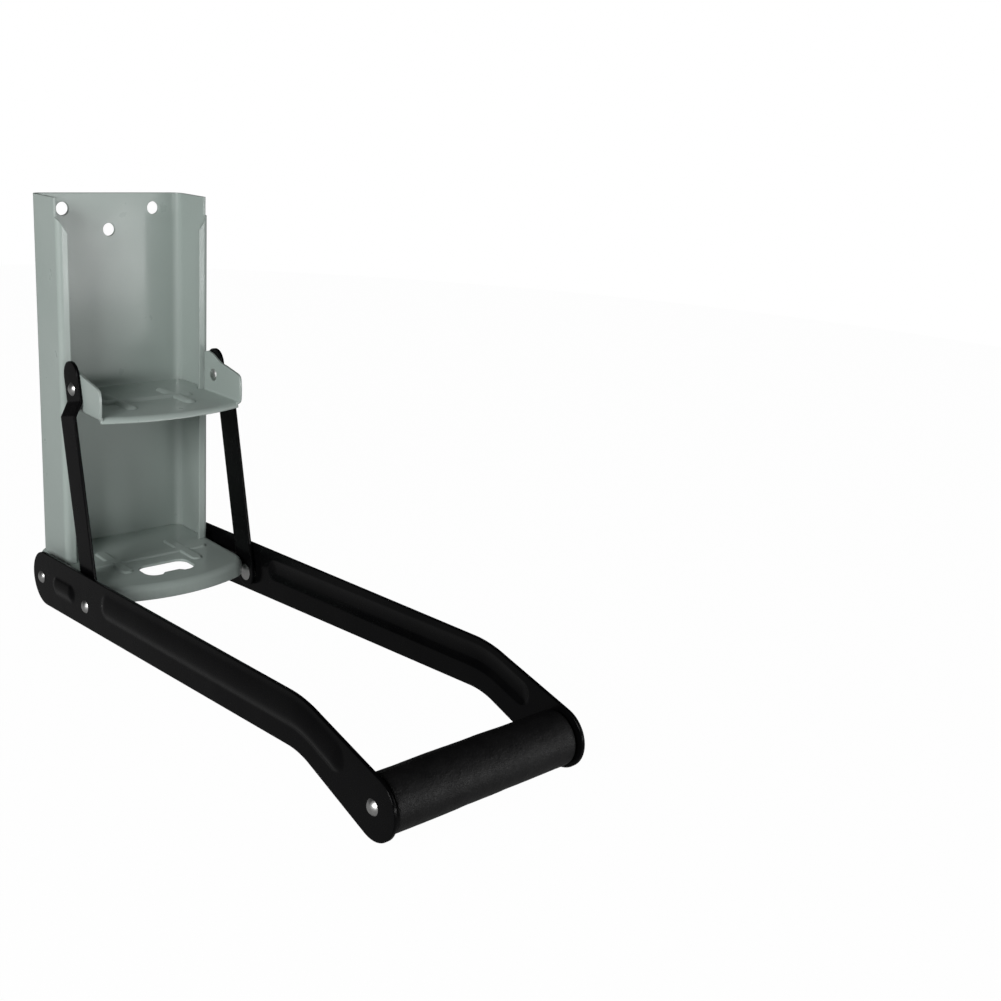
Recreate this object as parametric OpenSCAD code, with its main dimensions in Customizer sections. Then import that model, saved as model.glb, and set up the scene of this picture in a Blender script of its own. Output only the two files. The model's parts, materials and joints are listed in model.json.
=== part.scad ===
// Wall-mounted lever can crusher, lever swung down
// X runs across, the wall lies on the plane y = 0 and the front faces -Y
// Heights are counted from the axis of the lever's pivots

/* [Wall channel] */
// Outer width of the channel that is screwed to the wall
channel_width = 98.8; // [96:0.2:100]
// Height of the channel's top edge
channel_top = 234; // [220:1:260]
// Thickness of the channel, pan and press sheet
sheet = 1.6; // [1.2:0.1:1.8]
// Distance from the wall to the front edge of the bare side walls at the top
wall_reach = 33.2; // [31:0.2:34]
// Distance from the wall to the front of the guide lips
lip_reach = 37; // [36:0.1:38]
// Distance that each guide lip turns inwards from the outer face
lip_width = 6.4; // [5:0.1:8]
// Length of the side walls above the guide lips
lip_drop = 11; // [6:1:20]
// Height over which each lip widens below its top end
lip_slope = 8.5; // [4:0.5:12]
// Outer radius of the two rear corners
rear_corner = 6.5; // [4:0.1:8]
// Outer radius of the two lip bends
lip_corner = 3.2; // [2:0.1:3.6]

/* [Wall screws] */
// Diameter of the screw holes
screw_hole = 8; // [4:0.1:9]
// Distance between the two upper screw holes
screw_spacing = 60; // [40:1:66]
// Distance of the upper screw holes below the top edge
screw_margin = 9.3; // [8:0.1:12]
// Distance of the middle screw hole below the upper ones
screw_step = 12.9; // [10:0.1:20]

/* [Base pan] */
// Outer width of the pan
pan_width = 101.6; // [100.4:0.2:102.8]
// Distance from the wall to the middle of the pan's bowed front
pan_reach = 96.7; // [92:0.1:104]
// Height of the pan's floor
pan_top = 12.3; // [11:0.1:14]
// Outer radius of the pressed edge round the floor
pan_edge = 3.8; // [2.6:0.1:5]
// Radius of the bowed front edge
pan_bow = 110; // [90:1:140]
// Radius of the two front corners
pan_corner = 18; // [12:0.5:22]
// Depth of the skirt below the floor at the front
skirt_depth = 9.3; // [7:0.1:11]
// Distance that the skirt's lugs reach below the lever's pivots
lug_drop = 10; // [8:0.5:12]
// Distance from the wall to the front end of the lugs' straight lower edge
lug_reach = 32; // [28:1:40]
// Distance from the wall to where the skirt has risen to its front depth
lug_rise = 70; // [60:1:74]

/* [Bottle opener] */
// Width of the opener's hole
opener_width = 33.5; // [30:0.5:36]
// Distance from the wall to the hole's rear edge
opener_near = 62.4; // [61:0.1:64]
// Distance from the wall to the hole's front edge
opener_far = 81.5; // [80:0.1:84]
// Radius of the hole's corners
opener_corner = 7; // [4:0.1:8]
// Width of the tooth at its root
tooth_width = 15; // [10:0.5:18]
// Distance that the tooth stands out from the front edge
tooth_reach = 2.6; // [1.5:0.1:4]

/* [Pressed ribs] */
// Width of a rib at the floor
rib_width = 8; // [6:0.1:8.4]
// Height of a rib
rib_height = 1.8; // [1.2:0.1:2]
// Distance from the wall to the ribs across the pan and the press
cross_rib_reach = 48.5; // [46:0.5:50]
// Length of the rib across the pan
pan_rib_length = 82; // [70:1:84]
// Distance between the pan's two other ribs
pan_rib_spacing = 48; // [40:1:56]
// Length of the rib across the press
press_rib_length = 62; // [54:1:68]
// Distance between the press's two other ribs
press_rib_spacing = 39; // [30:1:44]
// Distance from the wall to the rear ends of the ribs that run forward
rib_near = 27; // [24:0.5:30]
// Distance from the wall to their front ends
rib_far = 70; // [66:0.5:72]

/* [Press] */
// Distance from the wall to the pins that carry the press
press_pin_reach = 50.1; // [49:0.1:52]
// Distance of the press floor's underside below those pins
press_drop = 12.9; // [11:0.1:14]
// Distance from the wall to the press floor's rear edge
press_near = 6; // [5:0.5:10]
// Distance from the wall to the front edge of the press's side ears
ear_far = 82; // [78:0.5:84]
// Height of the ears above the underside of the press
ear_height = 26.9; // [24:0.1:30]
// Distance of the ears' outer faces in from the channel's outer faces
ear_inset = 2.4; // [2:0.1:3]
// Distance from the wall to the middle of the press's bowed front
press_reach = 89; // [86:0.5:92]
// Radius of the press's bowed front edge
press_bow = 125; // [110:1:150]
// Outer radius of the rolled front edge
press_roll = 3.4; // [2.4:0.1:4]
// Outer radius of the bends under the ears
ear_bend = 2.6; // [2:0.1:3]

/* [Lever] */
// Distance from the wall to the lever's pivots
pivot_reach = 17.8; // [17:0.1:19]
// Distance from the lever's pivots to the lower pins of the links
crank = 61.4; // [58:0.1:64]
// Distance from the lever's pivots to the middle of the grip
lever_reach = 341.3; // [320:1:380]
// Angle of the lowered lever from upright
lowered_angle = 89; // [86:0.5:90]
// Thickness of the arms
arm_sheet = 1.8; // [1.5:0.1:2.2]
// Radius of the arms' rounded pivot ends
root_radius = 16.9; // [16:0.1:18]
// Distance from the pivots to the centre of those round ends
root_offset = 4.5; // [3:0.1:6]
// Width of the arms in their bend
arm_width = 27.6; // [26.6:0.1:30]
// Radius of the arms' rounded grip ends
tip_radius = 15.6; // [15:0.1:17]
// Distance from the arms' bend to the grip, along the line of the pins
bend_back = 55; // [50:0.5:62]
// Distance of that bend from the line of the pins
bend_drop = 16.3; // [14:0.1:18]
// Radius of the bend along the middle of the arm
bend_radius = 60; // [45:1:70]

/* [Pressings in the arms] */
// Height that the pressings stand out from the arms' outer faces
press_depth = 1.8; // [1:0.1:2]
// Width of the long bead's hollow at the arm's inner face
bead_width = 13.2; // [11:0.1:14.4]
// Distance of the long bead from the arm's middle, towards its outer bend
bead_shift = 3.7; // [2.6:0.1:3.9]
// Distance from the pivots to the start of the long bead
bead_start = 84; // [80:1:90]
// Distance from the end of the long bead to the middle of the grip
bead_end = 24; // [21:0.5:30]
// Width of the short oval's hollow between the pins
oval_width = 9.6; // [8:0.1:12]
// Distance from the pivots to the start of the short oval
oval_start = 17.8; // [16.8:0.1:19]
// Distance from the pivots to the end of the short oval
oval_end = 46.2; // [42:0.1:48.4]

/* [Links] */
// Distance between the two pins of a link
link_length = 127.9; // [126:0.1:130]
// Width of a link
link_width = 18; // [16:0.1:18.6]
// Thickness of a link
link_sheet = 1.8; // [1.5:0.1:2.2]
// Distance that a link's top end reaches beyond its pin
link_top = 16.5; // [13:0.1:17]
// Distance below the upper pin where the sideways step starts
step_start = 7.5; // [6.8:0.1:8]
// Distance below the upper pin where the sideways step ends
step_end = 16; // [14.5:0.1:17]
// Gap between the pan's side and the links
link_gap = 1.4; // [1.2:0.1:1.8]
// Gap between moving faces that pass each other
pass_gap = 0.3; // [0.3:0.05:0.4]
// Gap between the links and the arms, which the spacers bridge
arm_gap = 1.9; // [1:0.1:2.4]

/* [Pins and rivets] */
// Diameter of the pins
pin_diameter = 5.6; // [4.8:0.1:6.2]
// Gap round a pin in its hole
pin_gap = 0.05; // [0.02:0.01:0.1]
// Gap between a turning part and the face beside it
side_play = 0.1; // [0.05:0.05:0.2]
// Diameter of the round heads
head_diameter = 7.8; // [7.4:0.1:9]
// Height of the round heads
head_height = 2; // [1.5:0.1:2.4]
// Height of the low heads inside the pan and the press
low_head_height = 1.4; // [1:0.1:1.6]
// Outer diameter of the spacers at the lever's pivots
spacer_diameter = 16; // [13:0.5:18]
// Outer diameter of the spacers at the links' lower pins
link_spacer_diameter = 13; // [11:0.5:14]
// Diameter of the heads behind the links' lower pins
tail_diameter = 11; // [10:0.1:12]
// Diameter of the rivets that join the pan to the channel
base_rivet_diameter = 4.8; // [4:0.1:6]
// Distance between those rivets
base_rivet_spacing = 48; // [40:1:60]

/* [Grip] */
// Diameter of the grip
grip_diameter = 28; // [26:0.5:30]
// Outer diameter of the tube in the grip
tube_diameter = 19; // [16:0.5:20]
// Wall of that tube
tube_wall = 1.5; // [1:0.1:2]
// Diameter of the washers at the grip's ends
washer_diameter = 22; // [20:0.5:24]
// Thickness of those washers
washer_thickness = 1.2; // [0.8:0.1:1.5]

/* [Hidden] */
$fn = 72;

frame_colour = [0.56, 0.62, 0.59];
black_paint = [0.08, 0.08, 0.085];
pin_colour = [0.72, 0.72, 0.70];
foam_colour = [0.11, 0.11, 0.11];

// Length that cuts run past what they cut
over = 1;
// Thickness of the slices that a pressed shell is spanned over
slice = 0.02;
// Steps along a rounded edge of the pan and along its corners
edge_steps = 6;
corner_steps = 10;
bow_steps = 16;
// Steps round an arm's ends and along its bend
end_steps = 30;
bend_steps = 10;
// Steps along each stretch of a smooth outline
curve_steps = 4;

// Half widths across the part, from the middle outwards
channel_half = channel_width / 2;
channel_inner = channel_half - sheet;
lip_inner = channel_half - lip_width;
pan_half = pan_width / 2;
ear_outer = channel_half - ear_inset;
ear_inner = ear_outer - sheet;
tab_inner = ear_outer + side_play;
tab_outer = tab_inner + link_sheet;
link_inner = pan_half + link_gap;
link_outer = link_inner + link_sheet;
arm_inner = link_outer + arm_gap;
arm_outer = arm_inner + arm_sheet;

// Gap between the press floor and the channel that guides it
guide_gap = 0.8;
// Gap between the guide lips and the ears in front of them
ear_gap = 2;
ear_near = lip_reach + ear_gap;
// Radius of the press floor's rear corners
press_corner = 6;
// Distance of the tongue's lower end above the pan's rear flange
tongue_rise = 2;
// Distance of the tongue's sides in from the rear corners' bends
tongue_inset = 5;
tongue_half = channel_half - rear_corner - tongue_inset;
tongue_low = -lug_drop + tongue_rise;

// Pins of the lowered linkage, as distance from the wall and height
pivot_pin = [pivot_reach, 0];
crank_pin = [pivot_reach + crank * sin(lowered_angle), crank * cos(lowered_angle)];
link_lean = asin((crank_pin[0] - press_pin_reach) / link_length);
press_pin = [press_pin_reach, crank_pin[1] + link_length * cos(link_lean)];
press_low = press_pin[1] - press_drop;
press_floor = press_low + sheet;

// Places across and above the pivots of the three wall screws
screw_height = channel_top - screw_margin;
screw_places = [[-screw_spacing / 2, screw_height], [screw_spacing / 2, screw_height],
    [0, screw_height - screw_step]];

// Side view of an ear, as shares of its length and height
ear_shares = [[0, 0.96], [0.1, 1], [0.24, 0.96], [0.43, 0.83], [0.62, 0.78],
    [0.82, 0.72], [0.93, 0.68], [0.975, 0.61], [0.99, 0.48], [0.995, 0.28], [0.985, 0.1],
    [0.96, 0]];

// Middle line of an arm, from its round pivot end over the bend to the grip
bend_place = [lever_reach - bend_back, -bend_drop];
first_run = [bend_place[0] - root_offset, bend_place[1]];
last_run = [bend_back, bend_drop];
first_angle = atan2(first_run[1], first_run[0]);
bend_turn = atan2(last_run[1], last_run[0]) - first_angle;
bend_tangent = bend_radius * tan(bend_turn / 2);
first_length = norm(first_run) - bend_tangent;
last_length = norm(last_run) - bend_tangent;

// Share of its depth that a pressing has at the foot of its flanks, and share of its
// half width that is level in the middle
flank_share = 0.7;
level_share = 0.25;
// Sheet pressed at half a right angle moves its other face out by this much
flank_shift = arm_sheet * tan(45 / 2);

// Points of an arc round a centre, both ends included
function arc(centre, radius, start, stop, steps) =
    [for (i = [0:steps]) let (a = start + (stop - start) * i / steps)
        centre + radius * [cos(a), sin(a)]];

// Point at share t between points b and c of a smooth curve through a, b, c and d
function curve_point(a, b, c, d, t) =
    b + (c - a) * t / 2 + (2 * a - 5 * b + 4 * c - d) * t * t / 2
    + (3 * b - a - 3 * c + d) * t * t * t / 2;

// Smooth curve through a list of points
function curve(points, steps) = let (last = len(points) - 1)
    [for (i = [0:last - 1], k = [0:steps - (i == last - 1 ? 0 : 1)])
        curve_point(points[max(i - 1, 0)], points[i], points[i + 1],
            points[min(i + 2, last)], k / steps)];

// Plan shape, drawn as place across and distance from the wall
module plan(low, high) {
    translate([0, 0, low]) mirror([0, 1, 0]) linear_extrude(high - low) children();
}

// Side shape, drawn as distance from the wall and height
module side_shape(left, right) {
    translate([right, 0, 0]) rotate([90, 0, -90]) linear_extrude(right - left) children();
}

// Front shape, drawn as place across and height
module front_shape(near, far) {
    translate([0, -near, 0]) rotate([90, 0, 0]) linear_extrude(far - near) children();
}

// The right-hand piece, or its mirror image on the left
module on_side(side) {
    if (side < 0) mirror([1, 0, 0]) children();
    else children();
}

// A round piece along X, drawn upwards from the given place across
module across_at(pin, place) {
    translate([place, -pin[0], pin[1]]) rotate([0, 90, 0]) children();
}

// Domed head of a rivet
module dome(diameter, height) {
    radius = (pow(diameter / 2, 2) + pow(height, 2)) / (2 * height);
    rotate_extrude() intersection() {
        translate([0, height - radius]) circle(radius, $fn = 4 * $fn);
        square([diameter / 2, height]);
    }
}

// Rivet along X with a head at either end of its grip
module rivet(pin, from, to, head, tail) {
    across_at(pin, from) cylinder(d = pin_diameter, h = to - from);
    across_at(pin, to) dome(head_diameter, head);
    if (tail > 0) across_at(pin, from) mirror([0, 0, 1]) dome(head_diameter, tail);
}

// Ring along X round a pin
module spacer(pin, diameter, from, to) {
    difference() {
        across_at(pin, from) cylinder(d = diameter, h = to - from);
        across_at(pin, from - over) cylinder(d = pin_diameter + 2 * pin_gap, h = to - from + 2 * over);
    }
}

// Block in plan with four round corners
module round_block(half, near, far, radius) {
    translate([-half, near + radius]) square([2 * half, far - near - 2 * radius]);
    translate([radius - half, near]) square([2 * (half - radius), far - near]);
    for (side = [-1, 1], y = [near + radius, far - radius])
        translate([side * (half - radius), y]) circle(radius);
}

// Closed channel in plan, with its own radii at the rear and the front
module channel_block(half, near, far, rear, front) {
    round_block(half, near, near + (far - near) * 2 / 3, rear);
    round_block(half, near + (far - near) / 3, far, front);
}

module channel_section() {
    difference() {
        channel_block(channel_half, 0, lip_reach, rear_corner, lip_corner);
        channel_block(channel_inner, sheet, lip_reach - sheet,
            rear_corner - sheet, lip_corner - sheet);
        translate([-lip_inner, lip_reach / 2]) square([2 * lip_inner, lip_reach]);
    }
}

// Room above the lips, with a slanted lower edge where they run out
module lip_clearance() {
    top = channel_top - lip_drop;
    rise = over * lip_slope / lip_width;
    for (side = [-1, 1])
        on_side(side) front_shape(wall_reach, lip_reach + over)
            polygon([[channel_half + over, channel_top + over], [channel_half + over, top + rise],
                [lip_inner - over, top - lip_slope - rise], [lip_inner - over, channel_top + over]]);
}

module wall_screw_holes() {
    for (place = screw_places)
        translate([place[0], over, place[1]])
            rotate([90, 0, 0]) cylinder(d = screw_hole, h = sheet + 2 * over);
}

module base_rivet_row(diameter, from, to) {
    for (side = [-1, 1])
        translate([side * base_rivet_spacing / 2, -from, 0])
            rotate([90, 0, 0]) cylinder(d = diameter, h = to - from);
}

module back_channel() {
    color(frame_colour) difference() {
        union() {
            plan(pan_top, channel_top) channel_section();
            plan(tongue_low, channel_top / 2) translate([-tongue_half, 0])
                square([2 * tongue_half, sheet]);
        }
        lip_clearance();
        wall_screw_holes();
        base_rivet_row(base_rivet_diameter + 2 * pin_gap, -over, sheet + over);
    }
}

// Centre line of the pan's front, and of its corners where they run into it
pan_bow_centre = [0, pan_reach - pan_bow];
pan_corner_centre = [pan_half - pan_corner,
    pan_bow_centre[1] + sqrt(pow(pan_bow - pan_corner, 2) - pow(pan_half - pan_corner, 2))];
pan_corner_turn = atan2(pan_corner_centre[1] - pan_bow_centre[1], pan_corner_centre[0]);

// Plan outline of the pan behind a rear edge, drawn in by the inset at its sides and front
function pan_outline(inset, rear) = let (half = pan_half - inset, turn = pan_corner_turn,
        mirrored = [-pan_corner_centre[0], pan_corner_centre[1]])
    concat([[half, rear]],
        arc(pan_corner_centre, pan_corner - inset, 0, turn, corner_steps),
        [for (i = [1:bow_steps - 1]) let (a = turn + (180 - 2 * turn) * i / bow_steps)
            pan_bow_centre + (pan_bow - inset) * [cos(a), sin(a)]],
        arc(mirrored, pan_corner - inset, 180 - turn, 180, corner_steps),
        [[-half, rear]]);

// Pan drawn as a full block with its rounded upper edge
module pan_block(inset, rear, top, radius) {
    hull() {
        plan(-lug_drop - over - inset, top - radius) polygon(pan_outline(inset, rear));
        for (i = [1:edge_steps]) let (a = 90 * i / edge_steps,
                height = top - radius * (1 - sin(a)))
            plan(height - slice, height)
                polygon(pan_outline(inset + radius * (1 - cos(a)), rear));
    }
}

// What the skirt keeps: deep round the pivots, shallow at the front
module skirt_shape() {
    polygon([[0, -lug_drop], [lug_reach, -lug_drop], [lug_rise, pan_top - skirt_depth],
        [pan_reach + over, pan_top - skirt_depth], [pan_reach + over, pan_top + over],
        [0, pan_top + over]]);
}

module opener_hole() {
    difference() {
        round_block(opener_width / 2, opener_near, opener_far, opener_corner);
        polygon([[-tooth_width / 2, opener_far + over], [-tooth_width / 2, opener_far],
            [-tooth_width / 3, opener_far - tooth_reach],
            [tooth_width / 3, opener_far - tooth_reach],
            [tooth_width / 2, opener_far], [tooth_width / 2, opener_far + over]]);
    }
}

// Cross-section of a pressed rib, drawn in by the skin's thickness for its underside
rib_radius = (pow(rib_width / 2, 2) + pow(rib_height, 2)) / (2 * rib_height);
module rib_section(skin, low) {
    intersection() {
        translate([0, rib_height - rib_radius]) circle(rib_radius - skin);
        translate([-rib_width / 2, low]) square([rib_width, rib_height - low]);
    }
}

// Straight rib with round ends, lying along X
module rib_bar(length, skin, low) {
    reach = length / 2 - rib_width / 2;
    translate([-reach, 0, 0]) rotate([90, 0, 90]) linear_extrude(2 * reach) rib_section(skin, low);
    for (side = [-1, 1])
        translate([side * reach, 0, 0]) rotate_extrude() intersection() {
            rib_section(skin, low);
            translate([0, low]) square([rib_width, rib_height - low]);
        }
}

// One rib across and two that run forward, on a floor of the given height
module rib_set(floor, length, spacing, skin, low) {
    translate([0, -cross_rib_reach, floor]) rib_bar(length, skin, low);
    for (side = [-1, 1])
        translate([side * spacing / 2, -(rib_near + rib_far) / 2, floor])
            rotate([0, 0, 90]) rib_bar(rib_far - rib_near, skin, low);
}

module pivot_holes() {
    across_at(pivot_pin, -pan_half - over)
        cylinder(d = pin_diameter + 2 * pin_gap, h = pan_width + 2 * over);
}

module base_pan() {
    color(frame_colour) difference() {
        intersection() {
            union() {
                difference() {
                    pan_block(0, sheet, pan_top, pan_edge);
                    pan_block(sheet, 2 * sheet, pan_top - sheet, pan_edge - sheet);
                }
                rib_set(pan_top, pan_rib_length, pan_rib_spacing, 0, -sheet / 2);
            }
            side_shape(-pan_half - over, pan_half + over) {
                skirt_shape();
            }
        }
        rib_set(pan_top, pan_rib_length, pan_rib_spacing, sheet, -sheet - over);
        plan(0, pan_top + rib_height + over) opener_hole();
        pivot_holes();
        base_rivet_row(base_rivet_diameter + 2 * pin_gap, 0, 2 * sheet + over);
    }
}

module base_rivets() {
    color(pin_colour) {
        base_rivet_row(base_rivet_diameter, 0, 2 * sheet);
        for (side = [-1, 1])
            translate([side * base_rivet_spacing / 2, -2 * sheet, 0])
                rotate([90, 0, 0]) dome(head_diameter, low_head_height);
    }
}

// Front view of the press: a floor with an ear bent up at either side
module press_tray(half, low, radius) {
    translate([-half, low + radius]) square([2 * half, 2 * ear_height]);
    translate([radius - half, low]) square([2 * (half - radius), ear_height]);
    for (side = [-1, 1])
        translate([side * (half - radius), low + radius]) circle(radius);
}

module ear_shape() {
    length = ear_far - ear_near;
    top = curve([for (s = ear_shares)
        [ear_near + s[0] * length, press_low + s[1] * ear_height]], curve_steps);
    polygon(concat([[ear_near, press_low]], top));
}

// Ears with the bends under them, and the floor between their rear halves
module press_sides() {
    difference() {
        intersection() {
            front_shape(ear_near, ear_far) difference() {
                press_tray(ear_outer, press_low, ear_bend);
                press_tray(ear_inner, press_floor, ear_bend - sheet);
            }
            side_shape(-ear_outer - over, ear_outer + over) ear_shape();
        }
        plan(press_low - over, press_floor + over) translate([ear_bend - ear_outer, press_pin_reach])
            square([2 * (ear_outer - ear_bend), ear_far]);
    }
}

// Centre of the bowed front edge
press_bow_centre = press_reach - press_bow;

module press_floor_shape() {
    tail_far = lip_reach - sheet - guide_gap;
    difference() {
        round_block(channel_inner - guide_gap, press_near, tail_far + 2 * press_corner, press_corner);
        translate([-channel_width, tail_far]) square([2 * channel_width, ear_far]);
    }
    translate([guide_gap - lip_inner, press_near + press_corner])
        square([2 * (lip_inner - guide_gap), ear_near + over - press_near - press_corner]);
}

// Front of the floor between the ears, with its edge rolled down along the bow
module press_front() {
    flat = press_bow - press_roll;
    intersection() {
        translate([0, -press_bow_centre, press_floor - press_roll])
            rotate_extrude($fn = 4 * $fn) {
                translate([ear_near - press_bow_centre, press_roll - sheet])
                    square([press_reach - ear_near - press_roll, sheet]);
                translate([flat, 0]) intersection() {
                    difference() {
                        circle(press_roll);
                        circle(press_roll - sheet);
                    }
                    square(press_roll);
                }
            }
        plan(press_low - press_roll, press_floor + over) translate([-ear_inner, ear_near])
            square([2 * ear_inner, ear_far]);
    }
}

module press_shoe() {
    color(frame_colour) difference() {
        union() {
            press_sides();
            plan(press_low, press_floor) press_floor_shape();
            press_front();
            rib_set(press_floor, press_rib_length, press_rib_spacing, 0, -sheet / 2);
        }
        rib_set(press_floor, press_rib_length, press_rib_spacing, sheet, -sheet - over);
        across_at(press_pin, -ear_outer - over)
            cylinder(d = pin_diameter + 2 * pin_gap, h = 2 * (ear_outer + over));
    }
}

// Pieces drawn along and across the upright lever, moved to the lowered lever
module on_lever(place) {
    translate([place, -pivot_pin[0], pivot_pin[1]]) rotate([lowered_angle, 0, 0])
        rotate([0, 0, 180]) rotate([0, -90, 0]) children();
}

// Angle at which a line from a point touches a circle round the origin
function touch_angle(radius, point) = atan2(point[1], point[0]) + acos(radius / norm(point));

// Outline of an arm, counted from its first straight stretch: round the pivot end,
// along the outside of the bend, round the grip end and back inside the bend
module arm_outline() {
    half = arm_width / 2;
    root_touch = touch_angle(root_radius, [first_length, half]);
    tip_touch = 180 - touch_angle(tip_radius, [last_length, half]);
    bend_centre = [first_length, bend_radius];
    tip_centre = bend_centre + bend_radius * [sin(bend_turn), -cos(bend_turn)]
        + last_length * [cos(bend_turn), sin(bend_turn)];
    translate([root_offset, 0]) rotate(first_angle) polygon(concat(
        arc([0, 0], root_radius, root_touch, 360 - root_touch, end_steps),
        arc(bend_centre, bend_radius + half, -90, bend_turn - 90, bend_steps),
        arc(tip_centre, tip_radius, bend_turn - tip_touch, bend_turn + tip_touch, end_steps),
        arc(bend_centre, bend_radius - half, bend_turn - 90, -90, bend_steps)));
}

// Cross-section of a pressing with a dished floor between flanks at half a right angle,
// its mouth at zero height
module pressing_section(half, depth, rise) {
    flank = flank_share * depth;
    level = level_share * half;
    polygon([[-half, rise], [-half, 0], [flank - half, -flank], [-level, -depth],
        [level, -depth], [half - flank, -flank], [half, 0], [half, rise]]);
}

// Round end of a pressing
module pressing_end(half, depth, rise) {
    rotate_extrude() intersection() {
        pressing_section(half, depth, rise);
        translate([0, -depth]) square([half, depth + rise]);
    }
}

// Straight stretch of a pressing along X
module pressing_run(length, half, depth, rise) {
    rotate([90, 0, 90]) linear_extrude(length) pressing_section(half, depth, rise);
}

// Long bead that follows the arm over its bend, grown at either side by the given length
module long_bead(grow, rise) {
    half = bead_width / 2 + grow;
    start = bead_start - root_offset + bead_width / 2;
    stop = last_length - bead_end - bead_width / 2;
    translate([root_offset, 0, 0]) rotate([0, 0, first_angle]) {
        translate([start, -bead_shift, 0]) {
            pressing_end(half, press_depth, rise);
            pressing_run(first_length - start, half, press_depth, rise);
        }
        translate([first_length, bend_radius, 0]) {
            rotate([0, 0, -90]) rotate_extrude(angle = bend_turn, $fn = 4 * $fn)
                translate([bend_radius + bead_shift, 0]) pressing_section(half, press_depth, rise);
            rotate([0, 0, bend_turn]) translate([0, -bend_radius - bead_shift, 0]) {
                pressing_run(stop, half, press_depth, rise);
                translate([stop, 0, 0]) pressing_end(half, press_depth, rise);
            }
        }
    }
}

// Short oval between the pivot and the link's pin
module short_oval(grow, rise) {
    half = oval_width / 2 + grow;
    length = oval_end - oval_start - oval_width;
    translate([root_offset, 0, 0]) rotate([0, 0, first_angle])
        translate([oval_start - root_offset + oval_width / 2, 0, 0]) {
            pressing_end(half, press_depth, rise);
            pressing_run(length, half, press_depth, rise);
            translate([length, 0, 0]) pressing_end(half, press_depth, rise);
        }
}

// Arm drawn from its outer face inwards, with its pressings standing out
module lever_arm(side) {
    color(black_paint) on_side(side) on_lever(arm_outer) mirror([0, 0, 1]) difference() {
        union() {
            linear_extrude(arm_sheet) arm_outline();
            long_bead(flank_shift, arm_sheet / 2);
            short_oval(flank_shift, arm_sheet / 2);
        }
        translate([0, 0, arm_sheet]) {
            long_bead(0, over);
            short_oval(0, over);
        }
        for (place = [0, crank, lever_reach])
            translate([place, 0, -over])
                cylinder(d = pin_diameter + 2 * pin_gap, h = arm_sheet + 2 * over);
    }
}

module lever_arm_left() { lever_arm(-1); }
module lever_arm_right() { lever_arm(1); }

// Face of a link, drawn from its upper pin downwards along X
module link_face() {
    half = link_width / 2;
    translate([half - link_top, -half]) square([link_top - half + link_length, link_width]);
    for (place = [half - link_top, link_length])
        translate([place, 0]) circle(half);
}

// Edge view of a link: flat against the ear, then stepped out to pass the pan
module link_edge() {
    low = link_length + link_width;
    polygon([[-link_top - over, tab_inner], [step_start, tab_inner], [step_end, link_inner],
        [low, link_inner], [low, link_outer],
        [step_end - step_turn, link_outer], [step_start - step_turn, tab_outer],
        [-link_top - over, tab_outer]]);
}
step_slope = atan2(link_inner - tab_inner, step_end - step_start);
step_turn = link_sheet * tan(step_slope / 2);

// Piece drawn along X from the upper pin, moved on to the leaning link
module on_link() {
    translate([0, -press_pin[0], press_pin[1]]) rotate([-link_lean, 0, 0])
        rotate([0, 90, 0]) children();
}

module link(side) {
    color(black_paint) on_side(side) on_link() difference() {
        intersection() {
            linear_extrude(arm_outer) link_face();
            rotate([90, 0, 0]) translate([0, 0, -link_width]) linear_extrude(2 * link_width) link_edge();
        }
        for (place = [0, link_length])
            translate([place, 0, 0]) cylinder(d = pin_diameter + 2 * pin_gap, h = arm_outer);
    }
}

module link_left() { link(-1); }
module link_right() { link(1); }

module pivot_rivet(side) {
    color(pin_colour) on_side(side)
        rivet(pivot_pin, pan_half - sheet, arm_outer + side_play, head_height, low_head_height);
}

module pivot_rivet_left() { pivot_rivet(-1); }
module pivot_rivet_right() { pivot_rivet(1); }

module pivot_spacer(side) {
    color(pin_colour) on_side(side)
        spacer(pivot_pin, spacer_diameter, pan_half, arm_inner - side_play);
}

module pivot_spacer_left() { pivot_spacer(-1); }
module pivot_spacer_right() { pivot_spacer(1); }

module link_lower_rivet(side) {
    color(pin_colour) on_side(side)
        rivet(crank_pin, link_outer + pass_gap, arm_outer, head_height, 0);
}

module link_lower_rivet_left() { link_lower_rivet(-1); }
module link_lower_rivet_right() { link_lower_rivet(1); }

module link_lower_spacer(side) {
    color(pin_colour) on_side(side)
        spacer(crank_pin, link_spacer_diameter, link_outer + pass_gap, arm_inner);
}

module link_lower_spacer_left() { link_lower_spacer(-1); }
module link_lower_spacer_right() { link_lower_spacer(1); }

module link_lower_tail(side) {
    color(pin_colour) on_side(side) {
        across_at(crank_pin, link_inner) cylinder(d = pin_diameter, h = link_sheet);
        across_at(crank_pin, link_inner) mirror([0, 0, 1])
            dome(tail_diameter, link_gap - pass_gap);
    }
}

module link_lower_tail_left() { link_lower_tail(-1); }
module link_lower_tail_right() { link_lower_tail(1); }

module link_upper_rivet(side) {
    color(pin_colour) on_side(side)
        rivet(press_pin, ear_inner, tab_outer + side_play, head_height, low_head_height);
}

module link_upper_rivet_left() { link_upper_rivet(-1); }
module link_upper_rivet_right() { link_upper_rivet(1); }

// Pin of the grip on the lowered lever
grip_pin = [pivot_reach + lever_reach * sin(lowered_angle), lever_reach * cos(lowered_angle)];
tube_half = arm_inner - washer_thickness;

module handle_rod() {
    color(pin_colour) {
        across_at(grip_pin, -arm_outer) cylinder(d = pin_diameter, h = 2 * arm_outer);
        for (side = [-1, 1])
            on_side(side) across_at(grip_pin, arm_outer) dome(head_diameter, head_height);
    }
}

// Open tube along X, centred on the grip's pin
module grip_tube(outer, inner, half) {
    difference() {
        across_at(grip_pin, -half) cylinder(d = outer, h = 2 * half);
        across_at(grip_pin, -half - over) cylinder(d = inner, h = 2 * (half + over));
    }
}

module handle_tube() {
    color(pin_colour) grip_tube(tube_diameter, tube_diameter - 2 * tube_wall, tube_half);
}

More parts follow.
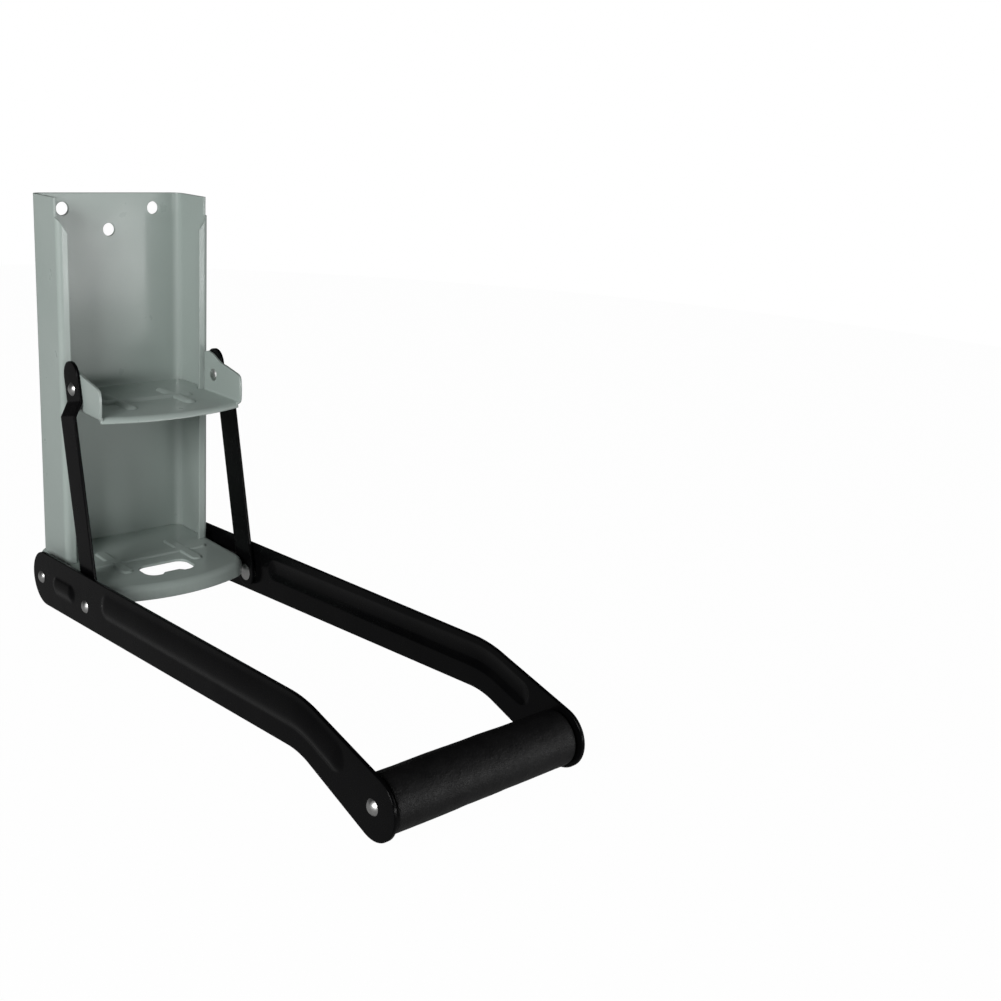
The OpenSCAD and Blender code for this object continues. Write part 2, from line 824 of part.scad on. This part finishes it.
module grip_sleeve() {
    color(foam_colour)
        grip_tube(grip_diameter, tube_diameter + 2 * pin_gap, tube_half - side_play);
}

module grip_washer(side) {
    color(black_paint) on_side(side) spacer(grip_pin, washer_diameter, tube_half, arm_inner);
}

module grip_washer_left() { grip_washer(-1); }
module grip_washer_right() { grip_washer(1); }

back_channel();
base_pan();
base_rivets();
press_shoe();
lever_arm_left();
lever_arm_right();
link_left();
link_right();
pivot_rivet_left();
pivot_rivet_right();
pivot_spacer_left();
pivot_spacer_right();
link_lower_rivet_left();
link_lower_rivet_right();
link_lower_spacer_left();
link_lower_spacer_right();
link_lower_tail_left();
link_lower_tail_right();
link_upper_rivet_left();
link_upper_rivet_right();
handle_rod();
handle_tube();
grip_sleeve();
grip_washer_left();
grip_washer_right();
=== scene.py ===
import json
import math

import bmesh
import bpy
from mathutils import Matrix, Vector, noise


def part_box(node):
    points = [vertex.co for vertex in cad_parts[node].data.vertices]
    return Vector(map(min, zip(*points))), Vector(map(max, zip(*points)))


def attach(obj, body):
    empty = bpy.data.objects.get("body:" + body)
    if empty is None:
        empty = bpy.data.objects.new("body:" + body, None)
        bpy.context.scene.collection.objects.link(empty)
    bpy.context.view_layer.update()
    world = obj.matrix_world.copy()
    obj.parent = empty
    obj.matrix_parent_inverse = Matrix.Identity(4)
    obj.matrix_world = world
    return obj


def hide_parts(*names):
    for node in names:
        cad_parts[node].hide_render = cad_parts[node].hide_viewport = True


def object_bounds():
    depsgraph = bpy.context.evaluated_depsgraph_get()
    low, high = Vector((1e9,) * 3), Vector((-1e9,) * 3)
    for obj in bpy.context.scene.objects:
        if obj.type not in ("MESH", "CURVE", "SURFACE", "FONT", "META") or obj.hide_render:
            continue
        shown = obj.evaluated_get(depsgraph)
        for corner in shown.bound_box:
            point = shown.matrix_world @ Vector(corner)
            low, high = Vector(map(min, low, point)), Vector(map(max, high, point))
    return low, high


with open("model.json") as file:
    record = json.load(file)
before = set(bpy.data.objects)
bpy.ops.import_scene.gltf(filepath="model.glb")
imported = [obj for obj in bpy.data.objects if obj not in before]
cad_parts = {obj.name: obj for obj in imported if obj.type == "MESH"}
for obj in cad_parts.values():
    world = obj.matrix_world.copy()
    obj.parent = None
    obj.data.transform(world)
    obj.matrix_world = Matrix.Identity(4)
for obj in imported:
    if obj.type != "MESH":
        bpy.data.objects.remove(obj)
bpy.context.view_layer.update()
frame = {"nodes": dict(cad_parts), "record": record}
nodes = frame["nodes"]

bpy.context.scene.view_settings.view_transform = "Standard"

MM = 0.001


def stand(name, data):
    """A new object in the scene"""
    thing = bpy.data.objects.new(name, data)
    bpy.context.scene.collection.objects.link(thing)
    return thing


# Camera: fitted to the photograph's view of the lowered lever

EYE = Vector((-0.35627, -0.73267, 0.29490))
AZIMUTH, ELEVATION, ROLL = (math.radians(angle) for angle in (-40.671, 16.481, 3.145))
SENSOR_WIDTH, FOCAL_LENGTH = 36, 45.350
SHIFT_X, SHIFT_Y = 0.0704, -0.0205
CLIP_NEAR, CLIP_FAR = 0.05, 50

back = Vector((math.sin(AZIMUTH) * math.cos(ELEVATION),
               -math.cos(AZIMUTH) * math.cos(ELEVATION),
               math.sin(ELEVATION)))
across = Vector((math.cos(AZIMUTH), math.sin(AZIMUTH), 0))
above = back.cross(across)
right = math.cos(ROLL) * across + math.sin(ROLL) * above
up = math.cos(ROLL) * above - math.sin(ROLL) * across

lens = bpy.data.cameras.new("camera")
lens.sensor_width, lens.lens = SENSOR_WIDTH, FOCAL_LENGTH
lens.shift_x, lens.shift_y = SHIFT_X, SHIFT_Y
lens.clip_start, lens.clip_end = CLIP_NEAR, CLIP_FAR
camera = stand("camera", lens)
camera.matrix_world = (Matrix.Translation(EYE)
                       @ Matrix((right, up, back)).transposed().to_4x4())
bpy.context.scene.camera = camera


# Node trees

NOISE_LOW, NOISE_HIGH = 0.3, 0.7  # nearly all of a noise texture lies between these
BEVEL_SAMPLES = 8


def colour(*rgb):
    return (*rgb, 1)


class Nodes:
    """A node tree under construction: nodes are added by type and joined by socket"""

    def __init__(self, owner, output):
        owner.use_nodes = True
        self.tree = owner.node_tree
        self.tree.nodes.clear()
        self.output = self.add(output)

    def fill(self, socket, value):
        """Joins a socket to another one, or gives it a value of its own"""
        if isinstance(value, bpy.types.NodeSocket):
            self.tree.links.new(value, socket)
        else:
            socket.default_value = value

    def add(self, kind, inputs=None, **settings):
        node = self.tree.nodes.new(kind)
        for key, value in settings.items():
            setattr(node, key, value)
        for key, value in (inputs or {}).items():
            self.fill(node.inputs[key], value)
        return node

    def end(self, result):
        self.fill(self.output.inputs[0], result)

    def ramp(self, value, low, high, to_low, to_high):
        return self.add("ShaderNodeMapRange", {
            "Value": value, "From Min": low, "From Max": high,
            "To Min": to_low, "To Max": to_high}).outputs["Result"]

    def combine(self, operation, a, b):
        return self.add("ShaderNodeMath", {0: a, 1: b}, operation=operation).outputs[0]

    def choose(self, switch, off, on):
        """One number where the switch is 0 and another where it is 1"""
        return self.add("ShaderNodeMix", {0: switch, 2: off, 3: on}).outputs[0]


class Shader(Nodes):
    """A material and its nodes"""

    def __init__(self, name):
        self.material = bpy.data.materials.new(name)
        super().__init__(self.material, "ShaderNodeOutputMaterial")

    def place(self):
        """Coordinates in metres, which ride with the piece"""
        return self.add("ShaderNodeTexCoord").outputs["Object"]

    def noise(self, scale, detail, roughness=0.5, stretch=(1, 1, 1)):
        where = self.add("ShaderNodeMapping", {"Vector": self.place(), "Scale": stretch})
        return self.add("ShaderNodeTexNoise", {
            "Vector": where.outputs[0], "Scale": scale, "Detail": detail,
            "Roughness": roughness}).outputs["Fac"]

    def vary(self, texture, low, high):
        """The usual span of a noise texture, stretched between two values"""
        return self.ramp(texture, NOISE_LOW, NOISE_HIGH, low, high)

    def mix(self, share, a, b):
        node = self.add("ShaderNodeMix", data_type="RGBA")
        for key, value in (("Factor", share), ("A", a), ("B", b)):
            self.fill(next(s for s in node.inputs if s.name == key and s.enabled), value)
        return next(s for s in node.outputs if s.enabled)

    def bump(self, height, distance, strength, normal=None):
        inputs = {"Height": height, "Distance": distance, "Strength": strength}
        if normal is not None:
            inputs["Normal"] = normal
        return self.add("ShaderNodeBump", inputs).outputs["Normal"]

    def soft_edge(self, radius):
        """Normal that is rounded over at edges, as sheet metal and paint leave them"""
        return self.add("ShaderNodeBevel", {"Radius": radius},
                        samples=BEVEL_SAMPLES).outputs["Normal"]

    def surface(self, **inputs):
        names = {key.replace("_", " ").title().replace("Ior", "IOR"): value
                 for key, value in inputs.items()}
        self.end(self.add("ShaderNodeBsdfPrincipled", names).outputs[0])
        return self.material


# Materials

SHEET_ROUNDING = 0.9 * MM
LINK_ROUNDING = 1.2 * MM
ARM_ROUNDING = 1.1 * MM


def grey_green_paint():
    """Sprayed semi-gloss paint: faint orange peel, uneven gloss and cloudy tone"""
    s = Shader("grey green paint")
    cloud = s.vary(s.noise(14, 3), 0, 1)
    speck = s.ramp(s.noise(900, 1), 0.62, 0.72, 0, 0.1)
    tone = s.mix(cloud, colour(0.318, 0.372, 0.348), colour(0.350, 0.402, 0.378))
    tone = s.mix(speck, tone, colour(0.28, 0.325, 0.305))
    rough = s.vary(s.noise(60, 4, 0.6), 0.27, 0.37)
    peel = s.bump(s.noise(420, 2), 0.06 * MM, 0.5, s.soft_edge(SHEET_ROUNDING))
    dents = s.bump(s.noise(38, 1), 0.6 * MM, 0.25, peel)
    return s.surface(base_color=tone, roughness=rough, normal=dents, specular_ior_level=0.5,
                     coat_weight=0.25, coat_roughness=0.12)


def black_paint(rounding):
    """Satin black dip coat: low sheen, faint stipple and soft waves"""
    s = Shader("black paint")
    cloud = s.vary(s.noise(30, 3), 0, 1)
    tone = s.mix(cloud, colour(0.0014, 0.0014, 0.0016), colour(0.0026, 0.0026, 0.0028))
    rough = s.vary(s.noise(120, 4, 0.7), 0.2, 0.29)
    stipple = s.bump(s.noise(1100, 2), 0.05 * MM, 0.6, s.soft_edge(rounding))
    wave = s.bump(s.noise(70, 1), 0.4 * MM, 0.25, stipple)
    return s.surface(base_color=tone, roughness=rough, normal=wave, specular_ior_level=0.3,
                     ior=1.24)


def foam():
    """Closed-cell foam: matt skin with soft lumps and fine pores"""
    s = Shader("foam")
    cells = s.add("ShaderNodeTexVoronoi", {"Vector": s.place(), "Scale": 1500.0}, feature="F1")
    pores = s.ramp(cells.outputs["Distance"], 0.1, 0.6, 0, 1)
    cloud = s.vary(s.noise(90, 4, 0.6), 0, 1)
    tone = s.mix(cloud, colour(0.0025, 0.0025, 0.0027), colour(0.006, 0.006, 0.0063))
    skin = s.bump(s.noise(330, 3, 0.65), 0.5 * MM, 0.8)
    skin = s.bump(pores, 0.12 * MM, 0.7, skin)
    rough = s.vary(s.noise(200, 3), 0.44, 0.54)
    return s.surface(base_color=tone, roughness=rough, normal=skin, specular_ior_level=0.26)


def plated_steel():
    """Bright zinc plating: faint cloudy tone, fine scratches and uneven gloss"""
    s = Shader("plated steel")
    cloud = s.vary(s.noise(160, 4, 0.6), 0, 1)
    tone = s.mix(cloud, colour(0.56, 0.56, 0.55), colour(0.68, 0.68, 0.67))
    scratch = s.noise(900, 3, 0.7, (0.15, 1, 1))
    rough = s.vary(s.noise(300, 3), 0.32, 0.46)
    return s.surface(base_color=tone, metallic=1.0, roughness=rough,
                     normal=s.bump(scratch, 0.05 * MM, 0.5))


def black_washer():
    """Moulded black plastic: dull, with a fine uneven grain"""
    s = Shader("black washer")
    tone = s.mix(s.noise(400, 3), colour(0.012, 0.012, 0.012), colour(0.022, 0.022, 0.022))
    rough = s.vary(s.noise(500, 2), 0.4, 0.6)
    grain = s.bump(s.noise(900, 2), 0.05 * MM, 0.5)
    return s.surface(base_color=tone, roughness=rough, normal=grain, specular_ior_level=0.3)


FINISHES = {
    "grey_green_paint": grey_green_paint(),
    "black_paint": black_paint(LINK_ROUNDING),
    "foam": foam(),
    "bright_steel": plated_steel(),
    "black_washer": black_washer(),
}
ARM_PAINT = black_paint(ARM_ROUNDING)
for subpart in frame["record"]["subparts"]:
    for material_slot in nodes[subpart["node"]].material_slots:
        material_slot.material = FINISHES[subpart["material_slot"]]


# New pieces

def smooth_mesh(shape, name):
    """Turns a bmesh into a mesh with outward normals and smooth faces"""
    bmesh.ops.recalc_face_normals(shape, faces=shape.faces)
    mesh = bpy.data.meshes.new(name)
    shape.to_mesh(mesh)
    shape.free()
    mesh.polygons.foreach_set("use_smooth", [True] * len(mesh.polygons))
    return mesh


def link(mesh, name, material, body):
    """A new piece of the object, which rides on a body and takes a slot's finish"""
    piece = stand(name, mesh)
    mesh.materials.append(material)
    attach(piece, body)
    return piece


# Grip sleeve: a soft tube with rounded ends and a slightly uneven skin

RIM, RIM_STEPS = 2.2 * MM, 8
TUBE_CLEARANCE = 0.1 * MM
SPANS, AROUND = 64, 128
DENTS = ((55, 0.22 * MM), (260, 0.08 * MM))  # scale of a noise, and how deep it goes
DENT_OFFSET = 0.12 * MM
SKIN_FROM = 0.8  # share of the radius beyond which a point is on the outer skin


def lathe(profile, centre, steps):
    """Closed ring round an axis along X, from (x, radius) points"""
    shape = bmesh.new()
    rows = []
    turns = [2 * math.pi * k / steps for k in range(steps)]
    for x, radius in profile:
        rows.append([shape.verts.new((x, centre.y + radius * math.cos(turn),
                                      centre.z + radius * math.sin(turn))) for turn in turns])
    for first, second in zip(rows, rows[1:] + rows[:1]):
        for k in range(steps):
            n = (k + 1) % steps
            shape.faces.new((first[k], first[n], second[n], second[k]))
    return smooth_mesh(shape, "lathe")


low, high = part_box("grip_sleeve")
tube_low, tube_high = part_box("handle_tube")
centre = (low + high) / 2
outer = (high.z - low.z) / 2
inner = (tube_high.z - tube_low.z) / 2 + TUBE_CLEARANCE
quarter = [math.pi / 2 * k / RIM_STEPS for k in range(RIM_STEPS + 1)]
profile = [(low.x, inner)]
profile += [(low.x + RIM - RIM * math.cos(turn), outer - RIM + RIM * math.sin(turn))
            for turn in quarter]
profile += [(low.x + RIM + (high.x - low.x - 2 * RIM) * k / SPANS, outer)
            for k in range(1, SPANS)]
profile += [(high.x - RIM + RIM * math.cos(turn), outer - RIM + RIM * math.sin(turn))
            for turn in reversed(quarter)]
profile.append((high.x, inner))
sleeve = lathe(profile, centre, AROUND)
for vertex in sleeve.vertices:
    off = Vector((0, vertex.co.y - centre.y, vertex.co.z - centre.z))
    if off.length > outer * SKIN_FROM:
        uneven = sum(noise.noise(vertex.co * scale) * depth for scale, depth in DENTS)
        vertex.co += off.normalized() * min(uneven - DENT_OFFSET, 0)
grip = link(sleeve, "grip_foam", FINISHES["foam"], "lever")
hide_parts("grip_sleeve")


# Arms: pressed strips whose bead and oval are rounded over. Lengths are in millimetres until a
# point is placed. An arm is drawn lying along its first run, from the centre of its round root.

PIVOT_REACH, PIVOT_HEIGHT = 17.8, 0
SWING = math.radians(89)  # lowered, from upright
REACH, ROOT_OFFSET = 341.3, 4.5  # of the grip and of the centre of the root, from the pivot
BEND_BACK, BEND_DROP, BEND_RADIUS = 55, 16.3, 60
ROOT, TIP, HALF = 16.9, 15.6, 13.8  # radii of the round ends, and half the width at the bend
INNER_FACE, OUTER_FACE = 55.9, 57.7  # from the middle plane of the object
SHARP = math.radians(50)

to_bend = Vector((REACH - BEND_BACK - ROOT_OFFSET, -BEND_DROP))
to_grip = Vector((BEND_BACK, BEND_DROP))
tilt = math.atan2(to_bend.y, to_bend.x)
bend = math.atan2(to_grip.y, to_grip.x) - tilt
first_run = to_bend.length - BEND_RADIUS * math.tan(bend / 2)
last_run = to_grip.length - BEND_RADIUS * math.tan(bend / 2)
bend_end = first_run + BEND_RADIUS * bend
whole = bend_end + last_run

# Pressings: where each starts and stops, its middle and its half width across the arm, and how
# far its crest lies towards one foot
DEPTH, ROUNDNESS = 1.8, 1.12
BEAD_SHIFT, BEAD_FOOT = 3.7, 7.35
PRESSINGS = ((86.1, whole - 30.8, -BEAD_SHIFT, BEAD_FOOT, 0.2),
             (18.1, 36.9, 0, 5.55, 0.0))
HOLLOW_TRIM = 0.6  # the hollow behind a pressing has its feet this much nearer its middle

# The grid of an arm: places along it with the number of rows that follow each, and cuts across it
RUNS = ((0, 30), (24, 40), (72, 36), (96, 40), (first_run, 20), (bend_end, 6),
        (whole - 40, 60), (whole, 0))
END_ROWS, BEAD_CUTS, EDGE_CUTS = 12, 36, 10
FULL_HALF = 12.2  # where an arm is narrower than this to a side, the cuts draw together
LEAST_HALF = 0.15  # half width of the first and last row, at the very ends


def width_at(run, radius, place):
    """Half width at a place along a run, counted from the centre of its round end"""
    touch = math.atan2(HALF, run) + math.acos(radius / math.hypot(run, HALF))
    foot = radius * math.cos(touch)
    if place <= foot:
        return math.sqrt(max(radius * radius - place * place, 0))
    start = radius * math.sin(touch)
    return start + (HALF - start) * (place - foot) / (run - foot)


def station(along):
    """Middle point, direction across and half width of an arm at a distance along it"""
    if along < first_run:
        return Vector((along, 0)), Vector((0, 1)), width_at(first_run, ROOT, along)
    angle = min((along - first_run) / BEND_RADIUS, bend)
    across = Vector((-math.sin(angle), math.cos(angle)))
    middle = Vector((first_run, BEND_RADIUS)) - BEND_RADIUS * across
    past = along - bend_end
    if past <= 0:
        return middle, across, HALF
    middle += past * Vector((math.cos(bend), math.sin(bend)))
    return middle, across, width_at(last_run, TIP, last_run - past)


def pressed(along, off, trim):
    """Height of the pressings at a point of the arm"""
    height = 0
    for start, stop, shift, foot, skew in PRESSINGS:
        beside = max(start - along, 0, along - stop) / (foot - trim)
        aside = (off - shift) / (foot - trim) - skew
        share = math.hypot(beside, aside / (1 - skew if aside > 0 else 1 + skew))
        if share < 1:
            height = DEPTH * (1 - share * share) ** ROUNDNESS
    return height


def placed(point, height):
    """A point of the lowered arm in metres, from its place in the arm's plane and its height"""
    u = ROOT_OFFSET + point.x * math.cos(tilt) - point.y * math.sin(tilt)
    v = point.x * math.sin(tilt) + point.y * math.cos(tilt)
    return (height * MM,
            (-PIVOT_REACH - u * math.sin(SWING) - v * math.cos(SWING)) * MM,
            (PIVOT_HEIGHT + u * math.cos(SWING) - v * math.sin(SWING)) * MM)


def arm_rows():
    """Distances along an arm at which it is cut across"""
    rows = [-ROOT * math.cos(math.pi / 2 * k / END_ROWS) for k in range(END_ROWS)]
    for (start, count), (stop, _) in zip(RUNS, RUNS[1:]):
        rows += [start + (stop - start) * k / count for k in range(count)]
    return rows + [whole + TIP * math.sin(math.pi / 2 * k / END_ROWS)
                   for k in range(END_ROWS + 1)]


def arm_cuts(half):
    """Places across an arm at which a row is cut, closest over the pressings"""
    half = max(half, LEAST_HALF)
    scale = min(half / FULL_HALF, 1)
    edge = half / scale
    bead = [(-BEAD_SHIFT - BEAD_FOOT) + 2 * BEAD_FOOT * k / BEAD_CUTS
            for k in range(BEAD_CUTS + 1)]
    beyond = [bead[-1] + (edge - bead[-1]) * k / EDGE_CUTS for k in range(1, EDGE_CUTS + 1)]
    return [off * scale for off in [-edge, (-edge + bead[0]) / 2] + bead + beyond]


def pressed_arm(side):
    """Mesh of the left (-1) or right (1) arm, without pin holes, which heads and spacers cover"""
    shape = bmesh.new()
    grids = []
    for face, trim in ((OUTER_FACE, 0.0), (INNER_FACE, HOLLOW_TRIM)):
        grid = []
        for along in arm_rows():
            middle, across, half = station(along)
            grid.append([
                shape.verts.new(placed(middle + off * across,
                                       side * (face + pressed(along, off, trim))))
                for off in arm_cuts(half)])
        grids.append(grid)
        for one, two in zip(grid, grid[1:]):
            for k in range(len(one) - 1):
                shape.faces.new((one[k], one[k + 1], two[k + 1], two[k]))
    front, rear = grids
    last_row, last_cut = len(front) - 1, len(front[0]) - 1
    border = ([(i, 0) for i in range(last_row)]
              + [(last_row, j) for j in range(last_cut)]
              + [(i, last_cut) for i in range(last_row, 0, -1)]
              + [(0, j) for j in range(last_cut, 0, -1)])
    rim = [(front[i][j], rear[i][j]) for i, j in border]
    for (a, b), (c, d) in zip(rim, rim[1:] + rim[:1]):
        shape.faces.new((a, b, d, c))
    mesh = smooth_mesh(shape, "arm")
    mesh.set_sharp_from_angle(angle=SHARP)
    return mesh


for name, side in (("lever_arm_left", -1), ("lever_arm_right", 1)):
    piece_name = name.replace("lever_arm", "pressed_arm")
    arm = link(pressed_arm(side), piece_name, ARM_PAINT, "lever")
    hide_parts(name)


# Floor: white where it is seen, dimmer in reflections, and a weak bounce for other light

FLOOR_GAP, FLOOR_HALF = 0.4 * MM, 30
FLOOR_COLOUR = colour(0.86, 0.86, 0.86)
FADE_START, FADE_END = 0.5, 1.6  # distance over which the shadow fades out
LEAST_GLOW = 0.985
GLOW_IN_GLOSS = 0.21
GLOW_AS_LIGHT = 0.35

low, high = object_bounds()
ground = low.z - FLOOR_GAP
plane = bpy.data.meshes.new("floor")
plane.from_pydata([(x * FLOOR_HALF, y * FLOOR_HALF, ground)
                   for x, y in ((-1, -1), (1, -1), (1, 1), (-1, 1))], [], [(0, 1, 2, 3)])
floor = stand("floor", plane)

s = Shader("floor")
rays = s.add("ShaderNodeLightPath").outputs
seen = s.combine("MAXIMUM", rays["Is Camera Ray"], rays["Is Glossy Ray"])
seen = s.combine("MAXIMUM", seen, rays["Is Transmission Ray"])
reach = s.add("ShaderNodeVectorMath", {0: s.place()}, operation="LENGTH").outputs["Value"]
far = s.ramp(reach, FADE_START, FADE_END, 0, 1)
share = s.combine("MULTIPLY", s.combine("MAXIMUM", far, LEAST_GLOW),
                  s.ramp(seen, 0, 1, GLOW_AS_LIGHT, 1))
strength = s.ramp(rays["Is Glossy Ray"], 0, 1, 1.0, GLOW_IN_GLOSS)
matt = s.add("ShaderNodeBsdfDiffuse", {"Color": FLOOR_COLOUR}).outputs[0]
glow = s.add("ShaderNodeEmission", {"Color": colour(1, 1, 1), "Strength": strength}).outputs[0]
s.end(s.add("ShaderNodeMixShader", {0: share, 1: matt, 2: glow}).outputs[0])
plane.materials.append(s.material)


# World: white where it is seen; for reflections and other light, brighter at the horizon

SKY_IN_GLOSS = (-0.02, 0.07, 0.36, 0.01)  # from and to height, from and to level
SKY_AS_LIGHT = (0.0, 0.7, 0.16, 0.05)

world = bpy.data.worlds.new("studio")
bpy.context.scene.world = world
w = Nodes(world, "ShaderNodeOutputWorld")
rays = w.add("ShaderNodeLightPath").outputs
seen = w.combine("MAXIMUM", rays["Is Camera Ray"], rays["Is Transmission Ray"])
where = w.add("ShaderNodeTexCoord").outputs["Generated"]
height = w.add("ShaderNodeSeparateXYZ", {0: where}).outputs["Z"]
level = w.choose(rays["Is Glossy Ray"], w.ramp(height, *SKY_AS_LIGHT),
                 w.ramp(height, *SKY_IN_GLOSS))
level = w.choose(seen, level, 1.0)
sky = w.add("ShaderNodeBackground", {"Color": colour(1, 1, 1), "Strength": level})
w.end(sky.outputs[0])


# Lamps: name, place, aim, size and power

MIDDLE = (0, -0.12, 0.08)
LAMPS = (("key", (-1.25, -0.82, 0.60), MIDDLE, (0.7, 0.5), 18.5),
         ("side", (1.3, -0.9, 0.35), MIDDLE, (0.9, 0.7), 2.5),
         ("front", (0.35, -1.2, 0.04), (0, -0.2, 0), (0.7, 0.14), 2.8))

for name, place, aim, size, power in LAMPS:
    light = bpy.data.lights.new(name, "AREA")
    light.shape = "RECTANGLE"
    light.size, light.size_y = size
    light.energy = power
    lamp = stand(name, light)
    lamp.location = place
    lamp.rotation_mode = "QUATERNION"
    lamp.rotation_quaternion = (Vector(aim) - Vector(place)).to_track_quat("-Z", "Y")
